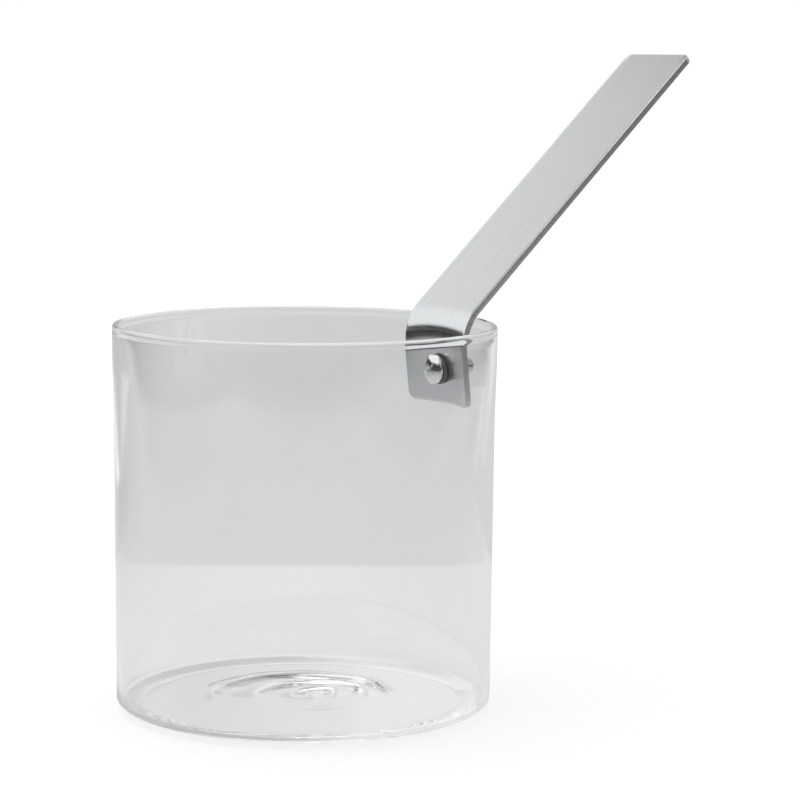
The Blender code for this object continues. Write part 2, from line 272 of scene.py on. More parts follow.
def turn_profile_tree():
    """Turns a line of points in the XZ plane about the Z axis, and closes the seam and the poles."""
    tree, given = form_tree("turned_profile", {"Profile": "Geometry", "Turns": "Int"})
    count = add(tree, "GeometryNodeAttributeDomainSize", {0: given["Profile"]}, component="MESH").outputs[0]
    grid = add(tree, "GeometryNodeMeshGrid", {"Size X": 1.0, "Size Y": 1.0, "Vertices X": count,
                                              "Vertices Y": calc(tree, "ADD", given["Turns"], 1.0)})
    spot = parts_of(tree, position(tree))
    last = calc(tree, "SUBTRACT", count, 1.0)
    row = calc(tree, "ROUND", times(tree, calc(tree, "ADD", spot[0], 0.5), last))
    angle = times(tree, calc(tree, "ADD", spot[1], 0.5), math.tau)
    point = add(tree, "GeometryNodeSampleIndex", {
        "Geometry": given["Profile"], "Value": position(tree), "Index": row},
        data_type="FLOAT_VECTOR", domain="POINT").outputs[0]
    point = parts_of(tree, point)
    place = joined(tree, X=times(tree, point[0], calc(tree, "COSINE", angle)),
                   Y=times(tree, point[0], calc(tree, "SINE", angle)), Z=point[2])
    turned = add(tree, "GeometryNodeSetPosition", {"Geometry": grid.outputs["Mesh"], "Position": place})
    closed = add(tree, "GeometryNodeMergeByDistance", {
        "Geometry": turned.outputs[0], "Distance": SEAM_CLOSENESS})
    add(tree, "NodeGroupOutput", {0: closed.outputs[0]})
    return tree


TURN_PROFILE = turn_profile_tree()


def turned_profile(tree, given):
    """The turned shape of a tree's own profile."""
    return add(tree, "GeometryNodeGroup", {"Profile": given["Profile"], "Turns": given["Turns"]},
               node_tree=TURN_PROFILE).outputs[0]


def finish_tree(tree, solid, material=None):
    """Smooth faces with sharp folds, made real and given a material where the tree has not given one yet."""
    smooth = add(tree, "GeometryNodeSetShadeSmooth", {"Geometry": solid}, domain="FACE")
    fold = calc(tree, "LESS_THAN", add(tree, "GeometryNodeInputMeshEdgeAngle").outputs[0], FOLD_ANGLE)
    folded = add(tree, "GeometryNodeSetShadeSmooth", {"Geometry": smooth.outputs[0], "Shade Smooth": fold},
                 domain="EDGE")
    real = add(tree, "GeometryNodeRealizeInstances", {"Geometry": folded.outputs[0]})
    if material is not None:
        real = add(tree, "GeometryNodeSetMaterial", {"Geometry": real.outputs[0], "Material": material})
    add(tree, "NodeGroupOutput", {0: real.outputs[0]})


def swirl_height(tree, given):
    """How far the swirl lifts or sinks a place on the floor."""
    fold = given["Swirl Fold"]
    place = vector_calc(tree, "SUBTRACT", position(tree), given["Swirl Centre"])
    fineness = calc(tree, "DIVIDE", SWIRL_DRIFT_FINENESS, fold)
    drift = vector_calc(tree, "SUBTRACT", noise(tree, place, fineness, 0.0)["Color"], (0.5, 0.5, 0.5))
    pushed = scaled(tree, drift, times(tree, fold, SWIRL_DRIFT))
    drawn = parts_of(tree, vector_calc(tree, "ADD", place, pushed))
    reach, turn = about_axis(tree, drawn[0], drawn[1])

    laps = calc(tree, "ADD", calc(tree, "DIVIDE", reach, fold), calc(tree, "DIVIDE", turn, math.tau))
    lap = calc(tree, "FRACT", laps)
    rise = mapped(tree, lap, 0.0, SWIRL_CREST, 0.0, 1.0, "SMOOTHSTEP")
    fall = mapped(tree, lap, SWIRL_CREST, 1.0, 1.0, 0.0, "SMOOTHSTEP")
    folds = calc(tree, "SUBTRACT", calc(tree, "MINIMUM", rise, fall), 0.5)
    rim_from = calc(tree, "SUBTRACT", given["Swirl Reach"], given["Swirl Rim"])
    inside = mapped(tree, reach, rim_from, given["Swirl Reach"], 1.0, 0.0, "SMOOTHERSTEP")
    relief = times(tree, inside, folds)

    fade_from = times(tree, fold, -SWIRL_SIDE_FADE)
    fade_to = times(tree, fold, SWIRL_SIDE_FADE)
    for (over_x, over_y), weakest in SWIRL_SIDES:
        side = calc(tree, "ADD", times(tree, drawn[0], over_x), times(tree, drawn[1], over_y))
        relief = times(tree, relief, mapped(tree, side, fade_from, fade_to, weakest, 1.0, "SMOOTHERSTEP"))
    return times(tree, relief, given["Swirl Depth"])


def vessel_tree():
    """The vessel: its turned profile, the swirl pressed into its floor and the drilled hole."""
    tree, given = form_tree("glass_vessel_form", {
        "Profile": "Geometry", "Turns": "Int", "Floor Height": "Float", "Swirl Centre": "Vector",
        "Swirl Reach": "Float", "Swirl Rim": "Float", "Swirl Depth": "Float", "Swirl Fold": "Float",
        "Hole Height": "Float", "Hole Diameter": "Float", "Wall Middle": "Float", "Wall": "Float",
        "Glass": "Material", "Ground Glass": "Material"})
    on_floor = add(tree, "FunctionNodeCompare", {
        0: parts_of(tree, position(tree))[2], 1: given["Floor Height"], "Epsilon": 0.00001},
        data_type="FLOAT", operation="EQUAL").outputs[0]
    swirled = add(tree, "GeometryNodeSetPosition", {
        "Geometry": turned_profile(tree, given), "Selection": on_floor,
        "Offset": joined(tree, Z=swirl_height(tree, given))})
    glass = add(tree, "GeometryNodeSetMaterial", {"Geometry": swirled.outputs[0], "Material": given["Glass"]})

    drill = add(tree, "GeometryNodeMeshCylinder", {
        "Vertices": DRILL_TURNS, "Radius": calc(tree, "DIVIDE", given["Hole Diameter"], 2.0),
        "Depth": times(tree, given["Wall"], 4.0)})
    laid = add(tree, "GeometryNodeTransform", {
        "Geometry": drill.outputs["Mesh"], "Rotation": (0.0, math.radians(90), 0.0),
        "Translation": joined(tree, X=given["Wall Middle"], Z=given["Hole Height"])})
    ground = add(tree, "GeometryNodeSetMaterial", {
        "Geometry": laid.outputs[0], "Material": given["Ground Glass"]})
    drilled = add(tree, "GeometryNodeMeshBoolean", {"Mesh 1": glass.outputs[0], "Mesh 2": ground.outputs[0]},
                  operation="DIFFERENCE", solver="EXACT")
    finish_tree(tree, drilled.outputs[0])
    return tree


def made_by_nodes(name, line, tree, **sizes):
    """Runs a tree on a line object with its named inputs, and returns the plain mesh object that it makes."""
    shaping = line.modifiers.new(name, "NODES")
    shaping.node_group = tree
    for item in tree.interface.items_tree:
        key = item.name.lower().replace(" ", "_")
        if item.in_out == "INPUT" and key in sizes:
            shaping[item.identifier] = sizes[key]
    mesh = bpy.data.meshes.new_from_object(line.evaluated_get(bpy.context.evaluated_depsgraph_get()))
    mesh.name = name
    bpy.data.objects.remove(line)
    return new_object(name, mesh)


def new_material(name):
    """A material, its tree and its Principled shader."""
    made = bpy.data.materials.new(name)
    made.use_nodes = True
    return made, made.node_tree, made.node_tree.nodes["Principled BSDF"]


def object_place(tree):
    """A place on a piece, in metres."""
    return add(tree, "ShaderNodeTexCoord").outputs["Object"]


def fine_relief(tree, height, strength, distance):
    """A normal that shows a pattern as fine relief."""
    inputs = {"Height": height, "Strength": strength, "Distance": distance}
    return add(tree, "ShaderNodeBump", inputs).outputs[0]


def glass_material(name, roughness):
    """Clear glass with the faint upright draw marks of a mould-blown wall."""
    made, tree, shader = new_material(name)
    drawn = add(tree, "ShaderNodeMapping", {"Vector": object_place(tree), "Scale": DRAW_MARKS}).outputs[0]
    waves = noise(tree, drawn, 1.0, 1.0)[0]
    fill(tree, shader, {"Base Color": (*CLEAR_GLASS, 1.0), "Roughness": roughness, "IOR": GLASS_IOR,
                        "Transmission Weight": 1.0, "Normal": fine_relief(tree, waves, 0.02, 0.0001)})
    return made


def make_glass_vessel():
    """Turns the vessel from its profile, with the swirl in its floor, and drills it."""
    vessel = made_by_nodes(
        "clear_glass_vessel", line_object("vessel_profile", vessel_profile()), vessel_tree(),
        turns=GLASS_TURNS, floor_height=FLOOR_THICKNESS, swirl_centre=SWIRL_CENTRE, swirl_reach=SWIRL_REACH,
        swirl_rim=SWIRL_RIM, swirl_depth=SWIRL_DEPTH, swirl_fold=SWIRL_FOLD, hole_height=SCREW_HEIGHT,
        hole_diameter=GLASS_HOLE, wall_middle=outer_radius(SCREW_HEIGHT) - WALL / 2, wall=WALL,
        glass=glass_material("polished_glass", 0.0), ground_glass=glass_material("ground_glass", 0.35))
    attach(vessel, "root")
    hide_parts("glass_vessel")


make_glass_vessel()

# Handle strip
# One flat bar of stainless steel, brushed along its length, with its cut edges lightly broken. It is bent
# once, at the rim. Its lower end stands inside the glass, leans towards the wall and is hollowed by pressing.

STRIP_WIDTH = 0.0326
STRIP_THICKNESS = 0.0020
TAB_STAND_OFF = 0.0043
TAB_END_HEIGHT = GLASS_HEIGHT - 0.0285
TAB_HOLLOW = 0.0027
TAB_LEAN = math.radians(7.8)
TAB_CORNER = 0.0030
CREASE_HEIGHT = GLASS_HEIGHT - 0.0021
BEND_RADIUS = 0.0160
BLADE_RISE = math.radians(43.4)
BLADE_LENGTH = 0.1256
BLADE_CORNER = 0.0025
STRIP_HOLE = 0.0056
EDGE_BREAK = 0.00015
CORNER_SPACING = 10
TAB_SPACING = 0.0010
BEND_SPACING = 0.0004
BLADE_SPACING = 0.004
ACROSS_SPACING = 0.0013
DRILL_PAST = 0.001
UV_UNIT = 0.1
STEEL = (0.61, 0.622, 0.628)
STREAK_WIDTH = 0.00018
STREAK_LENGTH = 0.02
GRIT = (2500.0, 2500.0, 2500.0)

# The tab's lean is measured from the wall, so off upright it is less by the wall's own slope. The bend takes
# up the rest of the turn to the blade, and the lengths are measured along the flat strip.
WALL_RISE = SCREW_HEIGHT - TAB_END_HEIGHT
TAB_TURN = TAB_LEAN - math.atan2(outer_radius(SCREW_HEIGHT) - outer_radius(TAB_END_HEIGHT), WALL_RISE)
BEND_TURN = math.pi / 2 - BLADE_RISE + TAB_TURN
BEND_TANGENT = BEND_RADIUS * math.tan(BEND_TURN / 2)
TAB_LENGTH = (CREASE_HEIGHT - TAB_END_HEIGHT) / math.cos(TAB_TURN) - BEND_TANGENT
BEND_LENGTH = BEND_RADIUS * BEND_TURN
BEND_END = TAB_LENGTH + BEND_LENGTH
STRIP_LENGTH = BEND_END + BLADE_LENGTH - BEND_TANGENT
SCREW_ALONG = WALL_RISE / math.cos(TAB_TURN)


def hollow_depth(along):
    """How deep the strip is hollowed: most at the tab's end, and no more where the bend ends."""
    faded = min(along / BEND_END, 1.0)
    return TAB_HOLLOW * (1 - faded**2) ** 2


TAB_BACK_RADIUS = outer_radius(SCREW_HEIGHT) - WALL - TAB_STAND_OFF
TAB_FACE_RADIUS = TAB_BACK_RADIUS - STRIP_THICKNESS - hollow_depth(SCREW_ALONG)
TAB_END_RADIUS = TAB_FACE_RADIUS + SCREW_ALONG * math.sin(TAB_TURN)


def mesh_object(name, shape):
    """Writes a bmesh to a new object in the scene."""
    mesh = bpy.data.meshes.new(name)
    shape.to_mesh(mesh)
    shape.free()
    return new_object(name, mesh)


def turned_object(name, points, turns):
    """A solid turned about Z from (radius, height) points."""
    shape = bmesh.new()
    corners = [shape.verts.new((radius, 0.0, height)) for radius, height in points]
    line = [shape.edges.new(pair) for pair in zip(corners, corners[1:])]
    bmesh.ops.spin(shape, geom=corners + line, cent=(0, 0, 0), axis=(0, 0, 1), angle=math.tau, steps=turns,
                   use_merge=True)
    bmesh.ops.remove_doubles(shape, verts=shape.verts, dist=0.000001)
    bmesh.ops.recalc_face_normals(shape, faces=shape.faces)
    return mesh_object(name, shape)


def cut_by(made, *cutters, operation="DIFFERENCE"):
    """Cuts one solid by others, makes the result its own mesh, and removes the cutters."""
    for cutter in cutters:
        cut = made.modifiers.new(cutter.name, "BOOLEAN")
        cut.operation = operation
        cut.solver = "EXACT"
        cut.object = cutter
    mesh = bpy.data.meshes.new_from_object(made.evaluated_get(bpy.context.evaluated_depsgraph_get()))
    made.modifiers.clear()
    made.data = mesh
    for cutter in cutters:
        bpy.data.objects.remove(cutter)


def flat_blank(name):
    """The flat blank: a plate with round corners, lightly broken edges and the drilled hole."""
    half = STRIP_WIDTH / 2
    outline = []
    for across, along, radius, start in (
            (-half, 0.0, TAB_CORNER, 180), (half, 0.0, TAB_CORNER, 270),
            (half, STRIP_LENGTH, BLADE_CORNER, 0), (-half, STRIP_LENGTH, BLADE_CORNER, 90)):
        centre = (across - math.copysign(radius, across), along + (radius if along == 0.0 else -radius))
        outline += arc(centre, (radius, radius), start, start + 90, CORNER_SPACING)
    shape = bmesh.new()
    bottom = shape.faces.new([shape.verts.new((across, along, 0.0)) for across, along in outline])
    raised = bmesh.ops.extrude_face_region(shape, geom=[bottom], use_keep_orig=True)
    bmesh.ops.translate(shape, vec=(0.0, 0.0, STRIP_THICKNESS),
                        verts=[made for made in raised["geom"] if isinstance(made, bmesh.types.BMVert)])
    bmesh.ops.recalc_face_normals(shape, faces=shape.faces)
    for face in shape.faces:
        face.material_index = 0 if abs(face.normal.z) > 0.5 else 1
    rims = [edge for edge in shape.edges if edge.verts[0].co.z == edge.verts[1].co.z]
    bmesh.ops.bevel(shape, geom=rims, offset=EDGE_BREAK, segments=3, profile=0.5, affect="EDGES", material=1)
    blank = mesh_object(name, shape)

    hole = STRIP_HOLE / 2
    broken = hole + EDGE_BREAK
    drill = turned_object("strip_drill", [
        (0.0, -DRILL_PAST), (broken, -DRILL_PAST), (broken, 0.0), (hole, EDGE_BREAK),
        (hole, STRIP_THICKNESS - EDGE_BREAK), (broken, STRIP_THICKNESS),
        (broken, STRIP_THICKNESS + DRILL_PAST), (0.0, STRIP_THICKNESS + DRILL_PAST)], DRILL_TURNS)
    drill.location = (0.0, SCREW_ALONG, 0.0)
    cut_by(blank, drill)
    return blank


def divide(shape, places, way):
    """Divides a mesh by planes at places along a direction."""
    for place in places:
        bmesh.ops.bisect_plane(shape, geom=shape.verts[:] + shape.edges[:] + shape.faces[:], dist=0.0000005,
                               plane_co=Vector(way) * place, plane_no=way)


def strip_place(across, along, depth):
    """Where a place in the flat blank lies: on the hollowed tab, in the bend or on the flat blade."""
    straight = min(along, TAB_LENGTH)
    lean = min(max(along - TAB_LENGTH, 0.0), BEND_LENGTH) / BEND_RADIUS - TAB_TURN
    beyond = max(along - BEND_END, 0.0)
    x = TAB_END_RADIUS - straight * math.sin(TAB_TURN) + BEND_RADIUS * (math.cos(TAB_TURN) - math.cos(lean))
    z = TAB_END_HEIGHT + straight * math.cos(TAB_TURN) + BEND_RADIUS * (math.sin(TAB_TURN) + math.sin(lean))
    hollow = hollow_depth(max(along, 0.0))
    share = 2 * across / STRIP_WIDTH
    splay = math.atan(hollow * 4 * share / STRIP_WIDTH)
    outward = hollow * (1 - share**2) + depth * math.cos(splay)
    return (x + beyond * math.sin(lean) + outward * math.cos(lean), across + depth * math.sin(splay),
            z + beyond * math.cos(lean) - outward * math.sin(lean))


def bent_strip(name):
    """Divides the flat blank finely, keeps its flat measures as a UV map, and bends it."""
    blank = flat_blank(name)
    shape = bmesh.new()
    shape.from_mesh(blank.data)
    divide(shape, steps_between(0.0, TAB_LENGTH, TAB_SPACING), (0, 1, 0))
    divide(shape, steps_between(TAB_LENGTH, BEND_END, BEND_SPACING), (0, 1, 0))
    divide(shape, steps_between(BEND_END, STRIP_LENGTH, BLADE_SPACING), (0, 1, 0))
    divide(shape, steps_between(-STRIP_WIDTH / 2, STRIP_WIDTH / 2, ACROSS_SPACING), (1, 0, 0))
    bmesh.ops.triangulate(shape, faces=[face for face in shape.faces if len(face.verts) > 4])
    uv = shape.loops.layers.uv.new("along_strip")
    for face in shape.faces:
        for loop in face.loops:
            loop[uv].uv = (loop.vert.co.x / UV_UNIT, loop.vert.co.y / UV_UNIT)
    for corner in shape.verts:
        corner.co = strip_place(*corner.co)
    bpy.data.objects.remove(blank)
    strip = mesh_object(name, shape)
    strip.data.shade_smooth()
    strip.data.set_sharp_from_angle(angle=FOLD_ANGLE)
    return strip


def brushed_grain_group():
    """Streaks along V of a UV map: a coarse one for the tone, and a fine one for the shade and the relief."""
    group = bpy.data.node_groups.new("brushed_grain", "ShaderNodeTree")
    for label, kind in (("Vector", "Vector"), ("Streak Width", "Float"), ("Streak Length", "Float")):
        group.interface.new_socket(label, in_out="INPUT", socket_type="NodeSocket" + kind)
    for label in ("Tone", "Fine"):
        group.interface.new_socket(label, in_out="OUTPUT", socket_type="NodeSocketFloat")
    given = group.nodes.new("NodeGroupInput").outputs
    scale = joined(group, X=calc(group, "DIVIDE", UV_UNIT, given["Streak Width"]),
                   Y=calc(group, "DIVIDE", UV_UNIT, given["Streak Length"]), Z=1.0)
    drawn = vector_calc(group, "MULTIPLY", given["Vector"], scale)
    coarse = vector_calc(group, "MULTIPLY", drawn, (0.12, 0.5, 1.0))
    add(group, "NodeGroupOutput", {"Tone": noise(group, coarse, 1.0, 2.0)[0],
                                   "Fine": noise(group, drawn, 1.0, 3.0)[0]})
    return group


BRUSHED_GRAIN = brushed_grain_group()


def between(tree, pattern, low, high):
    """A noise pattern's middle range mapped to a range."""
    return mapped(tree, pattern, 0.3, 0.7, low, high)


def brushed_steel_material():
    """Stainless steel brushed along the strip, which stretches what it mirrors across the streaks."""
    made, tree, shader = new_material("brushed_strip_face")
    flat = add(tree, "ShaderNodeUVMap", uv_map="along_strip").outputs[0]
    grain = add(tree, "ShaderNodeGroup", {
        "Vector": flat, "Streak Width": STREAK_WIDTH, "Streak Length": STREAK_LENGTH},
        node_tree=BRUSHED_GRAIN).outputs
    tangent = add(tree, "ShaderNodeTangent", direction_type="UV_MAP", uv_map="along_strip").outputs[0]
    fill(tree, shader, {"Base Color": scaled(tree, STEEL, between(tree, grain["Fine"], 0.96, 1.03)),
                        "Roughness": between(tree, grain["Tone"], 0.17, 0.21),
                        "Normal": fine_relief(tree, grain["Fine"], 0.12, 0.00002),
                        "Tangent": tangent, "Anisotropic": 0.8, "Metallic": 1.0})
    return made


def cut_edge_material():
    """The strip's sheared and broken edge: duller and a little darker than its faces."""
    made, tree, shader = new_material("sheared_strip_edge")
    drawn = add(tree, "ShaderNodeMapping", {"Vector": object_place(tree), "Scale": GRIT}).outputs[0]
    grit = noise(tree, drawn, 1.0, 2.0)[0]
    fill(tree, shader, {"Base Color": scaled(tree, STEEL, between(tree, grit, 0.75, 0.95)),
                        "Roughness": between(tree, grit, 0.35, 0.5), "Metallic": 1.0})
    return made


def make_handle_strip():
    """Bends the strip and gives its faces and its edges their finishes."""
    strip = bent_strip("brushed_handle_strip")
    strip.data.materials.append(brushed_steel_material())
    strip.data.materials.append(cut_edge_material())
    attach(strip, "root")
    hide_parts("handle_strip")


make_handle_strip()

# Soft rings
# Soft moulded rings on the screw: a dark grey washer under its head, and three of grey-white silicone that
# keep steel off glass. They are a thick spacer behind the tab, a bush in the hole and a gasket under the nut.

RING_BORE = 0.0056
RING_TURNS = 96
WASHER_DIAMETER = 0.0100
WASHER_THICKNESS = 0.0003
WASHER_ROUNDING = 0.0001
SPACER_DIAMETER = 0.0120
SPACER_ROUNDING = 0.0004
BUSH_DIAMETER = 0.0066
BUSH_ROUNDING = 0.0002
GASKET_DIAMETER = 0.0090
GASKET_THICKNESS = 0.0004
GASKET_ROUNDING = 0.00018
SEAT_GAP = 0.0003
DARK_SILICONE = (0.16, 0.165, 0.17)
SILICONE = (0.74, 0.75, 0.74)
SOFT_DEPTH = (0.001, 0.001, 0.001)


def wall_face(offset):
    """The distance from the pan's axis to the vessel's outer face plus an offset, at a place on it."""
    return lambda y, z: math.sqrt((outer_radius(z) + offset) ** 2 - y * y)


def tab_side(depth):
    """The distance from the pan's axis to the tab's inner face plus a depth, at a place on it."""
    def distance(y, z):
        """Nears the place's measure along the flat strip step by step."""
        along = WALL_RISE
        for _ in range(6):
            x, _, height = strip_place(y, along, depth)
            along += z - height
        return x
    return distance


WASHER_SEAT = tab_side(0.0)(0.0, SCREW_HEIGHT + WASHER_DIAMETER / 2) - SEAT_GAP - WASHER_THICKNESS


def silicone_material(name, tint):
    """Matte silicone, a little cloudy, with the fine grain of its mould."""
    made, tree, shader = new_material(name)
    place = object_place(tree)
    cloud = noise(tree, place, 400.0, 3.0)[0]
    grain = noise(tree, place, 4000.0, 1.0)[0]
    fill(tree, shader, {"Base Color": scaled(tree, tint, mapped(tree, cloud, 0.0, 1.0, 0.92, 1.06)),
                        "Roughness": mapped(tree, cloud, 0.0, 1.0, 0.42, 0.6),
                        "Normal": fine_relief(tree, grain, 0.2, 0.00002),
                        "Subsurface Weight": 0.15, "Subsurface Radius": SOFT_DEPTH})
    return made


def soft_ring(name, diameter, near, far, rounding, tint):
    """A ring on the screw's line between two curved faces, with round edges."""
    outer, inner = diameter / 2, RING_BORE / 2
    section = []
    for radius, side, turn_from in ((outer, 0, -90), (outer, 1, 0), (inner, 1, 90), (inner, 0, 180)):
        centre = (radius - rounding if radius == outer else radius + rounding, 0.0)
        for across, depth in arc(centre, (rounding, rounding), turn_from, turn_from + 90, 22.5):
            section.append((across, side, rounding - abs(depth)))
    shape = bmesh.new()
    loops = []
    for step in range(RING_TURNS):
        angle = math.tau * step / RING_TURNS
        loop = []
        for radius, side, inset in section:
            y, z = radius * math.cos(angle), SCREW_HEIGHT + radius * math.sin(angle)
            x = far(y, z) - inset if side else near(y, z) + inset
            loop.append(shape.verts.new((x, y, z)))
        loops.append(loop)
    for here, there in zip(loops, loops[1:] + loops[:1]):
        for i in range(len(section)):
            j = (i + 1) % len(section)
            shape.faces.new((here[i], here[j], there[j], there[i])).smooth = True
    bmesh.ops.recalc_face_normals(shape, faces=shape.faces)
    ring = mesh_object(name, shape)
    ring.data.materials.append(silicone_material(name + "_silicone", tint))
    return ring


def make_soft_rings():
    """Makes the four rings, each between the two faces that it fills."""
    washer = soft_ring("silicone_head_washer", WASHER_DIAMETER, lambda y, z: WASHER_SEAT, tab_side(-SEAT_GAP),
                       WASHER_ROUNDING, DARK_SILICONE)
    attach(washer, "root")
    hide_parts("head_washer")
    spacer = soft_ring("silicone_spacer", SPACER_DIAMETER, tab_side(STRIP_THICKNESS + SEAT_GAP),
                       wall_face(-WALL - SEAT_GAP), SPACER_ROUNDING, SILICONE)
    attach(spacer, "root")
    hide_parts("inner_spacer")
    bush = soft_ring("silicone_bush", BUSH_DIAMETER, wall_face(-WALL), wall_face(0.0),
                     BUSH_ROUNDING, SILICONE)
    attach(bush, "root")
    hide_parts("hole_bush")
    gasket = soft_ring("silicone_gasket", GASKET_DIAMETER, wall_face(SEAT_GAP),
                       wall_face(SEAT_GAP + GASKET_THICKNESS), GASKET_ROUNDING, SILICONE)
    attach(gasket, "root")
    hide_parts("outer_gasket")


make_soft_rings()

# Handle screw
# A pan-head machine screw of polished stainless steel with a cross recess and a rolled thread.
# It goes in from inside the vessel, through washer, tab, spacer and the bushed hole in the glass.

SCREW_DIAMETER = 0.0050
SCREW_LENGTH = 0.0174
SCREW_POINT = 0.0008
SCREW_TURNS = 72
THREAD_PITCH = 0.0008
THREAD_DEPTH = 0.0004
THREAD_LENGTH = 0.0120
HEAD_DIAMETER = 0.0100
HEAD_SIDE = 0.0009
HEAD_DOME = 0.0012
HEAD_ROUNDING = 0.0003
HEAD_CHAMFER = 0.0002
HEAD_SEAT = WASHER_SEAT - SEAT_GAP
HEAD_TOP = HEAD_SEAT - HEAD_SIDE - HEAD_DOME
SCREW_END = HEAD_SEAT + SCREW_LENGTH
POINT_SPACING = 0.0005
THREAD_SPACING = 0.0001
DOME_SPACING = 0.0004
RECESS_SPAN = 0.0048
RECESS_BOTTOM_SPAN = 0.0018
RECESS_WIDTH = 0.0011
RECESS_NARROWING = 0.25
RECESS_DEPTH = 0.0022
POLISHED = (0.72, 0.72, 0.71)


def screw_profile():
    """The screw's outline as (radius, distance from the pan's axis), from its end to the top of its head."""
    shank = SCREW_DIAMETER / 2
    head = HEAD_DIAMETER / 2
    rounding_at = HEAD_SEAT - HEAD_SIDE + HEAD_ROUNDING
    dome_radius = (head**2 + HEAD_DOME**2) / (2 * HEAD_DOME)
    dome_edge = head - HEAD_ROUNDING
    dome_side = HEAD_TOP + dome_radius - math.sqrt(dome_radius**2 - dome_edge**2)
    side = steps_between(SCREW_END - SCREW_POINT, HEAD_SEAT + HEAD_CHAMFER, THREAD_SPACING)
    points = [(radius, SCREW_END) for radius in steps_between(0.0, shank - SCREW_POINT, POINT_SPACING)]
    points += [(shank, at) for at in side]
    points += [(shank + HEAD_CHAMFER, HEAD_SEAT), (head - HEAD_CHAMFER, HEAD_SEAT)]
    points += [(head, HEAD_SEAT - HEAD_CHAMFER), (head, rounding_at)]
    points += arc((dome_edge, rounding_at), (HEAD_ROUNDING, rounding_at - dome_side), 0, -90, 15)[1:]
    for radius in steps_between(dome_edge, 0.0, DOME_SPACING)[1:]:
        points.append((radius, HEAD_TOP + dome_radius - math.sqrt(dome_radius**2 - radius**2)))
    return points


def screw_tree():
    """The turned screw with its thread as a helical groove, laid along the screw's line."""
    tree, given = form_tree("handle_screw_form", {
        "Profile": "Geometry", "Turns": "Int", "Shank Radius": "Float", "Thread From": "Float",
        "Thread To": "Float", "Pitch": "Float", "Depth": "Float", "Line Height": "Float",
        "Steel": "Material"})
    x, y, along = parts_of(tree, position(tree))
    radius, angle = about_axis(tree, x, y)
    laps = calc(tree, "DIVIDE", along, given["Pitch"])
    phase = calc(tree, "SUBTRACT", laps, calc(tree, "DIVIDE", angle, math.tau))
    valley = times(tree, calc(tree, "PINGPONG", phase, 0.5), 2.0)
    full_from = calc(tree, "ADD", given["Thread From"], given["Pitch"])
    run_in = mapped(tree, along, given["Thread From"], full_from, 0.0, 1.0)
    run_out = calc(tree, "LESS_THAN", along, given["Thread To"])
    on_shank = calc(tree, "LESS_THAN", radius, calc(tree, "ADD", given["Shank Radius"], 0.00001))
    off_axis = calc(tree, "GREATER_THAN", radius, times(tree, given["Shank Radius"], 0.9))
    cut = times(tree, valley, given["Depth"], run_in, run_out, on_shank, off_axis)
    share = calc(tree, "SUBTRACT", 1.0, calc(tree, "DIVIDE", cut, calc(tree, "MAXIMUM", radius, 0.0001)))
    grooved = joined(tree, X=times(tree, x, share), Y=times(tree, y, share), Z=along)
    threaded = add(tree, "GeometryNodeSetPosition", {
        "Geometry": turned_profile(tree, given), "Position": grooved})
    laid = add(tree, "GeometryNodeTransform", {
        "Geometry": threaded.outputs[0], "Rotation": (0.0, math.radians(90), 0.0),
        "Translation": joined(tree, Z=given["Line Height"])})
    finish_tree(tree, laid.outputs[0], given["Steel"])
    return tree


def bright_steel_material(name, colour, roughness):
    """Bright steel with fine turning marks and a little handling wear."""
    made, tree, shader = new_material(name)
    fine = noise(tree, object_place(tree), 1800.0, 2.0)[0]
    fill(tree, shader, {"Roughness": between(tree, fine, roughness * 0.7, roughness * 1.4),
                        "Base Color": (*colour, 1.0), "Metallic": 1.0})
    return made


def across_the_screw(at):
    """The move that lays a shape made about Z on the screw's line, at a distance from the pan's axis."""
    return Matrix.Translation((at, 0.0, SCREW_HEIGHT)) @ Matrix.Rotation(math.radians(90), 4, "Y")


def recess_wing(name, degrees):
    """One wing of the cross recess: a bar across the head that narrows towards its bottom."""
    shape = bmesh.new()
    bmesh.ops.create_cube(shape, size=1.0)
    slope = (RECESS_SPAN - RECESS_BOTTOM_SPAN) / RECESS_DEPTH
    for corner in shape.verts:
        depth = RECESS_DEPTH if corner.co.z > 0 else -HEAD_DOME
        corner.co.x *= RECESS_SPAN - slope * depth
        corner.co.y *= RECESS_WIDTH * (1 - RECESS_NARROWING * max(depth, 0.0) / RECESS_DEPTH)
        corner.co.z = HEAD_TOP + depth
    shape.transform(across_the_screw(0.0) @ Matrix.Rotation(math.radians(degrees), 4, "Z"))
    return mesh_object(name, shape)


def make_handle_screw():
    """Turns and threads the screw, and presses the cross recess into its head."""
    screw = made_by_nodes(
        "pan_head_screw", line_object("screw_profile", screw_profile()), screw_tree(),
        turns=SCREW_TURNS, shank_radius=SCREW_DIAMETER / 2, thread_from=SCREW_END - THREAD_LENGTH,
        thread_to=SCREW_END - SCREW_POINT / 2, pitch=THREAD_PITCH, depth=THREAD_DEPTH,
        line_height=SCREW_HEIGHT, steel=bright_steel_material("polished_screw_steel", POLISHED, 0.06))
    cut_by(screw, recess_wing("recess_wing_a", 45), recess_wing("recess_wing_b", 135))
    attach(screw, "root")
    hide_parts("handle_screw")


make_handle_screw()

# Handle nut
# A thin hexagon nut of satin stainless steel with both faces chamfered, tightened on the screw outside the
# glass. One flat is on top, and the screw's end stands out past it.

NUT_ACROSS_FLATS = 0.0072
NUT_THICKNESS = 0.0020
NUT_CHAMFER = 0.0004
NUT_BORE = 0.00504
NUT_COUNTERSINK = 0.0003
NUT_TURNS = 96
NUT_FOLD_ANGLE = math.radians(25)
NUT_SEAT = outer_radius(SCREW_HEIGHT + GASKET_DIAMETER / 2) + SEAT_GAP + GASKET_THICKNESS + SEAT_GAP
SATIN = (0.66, 0.66, 0.65)


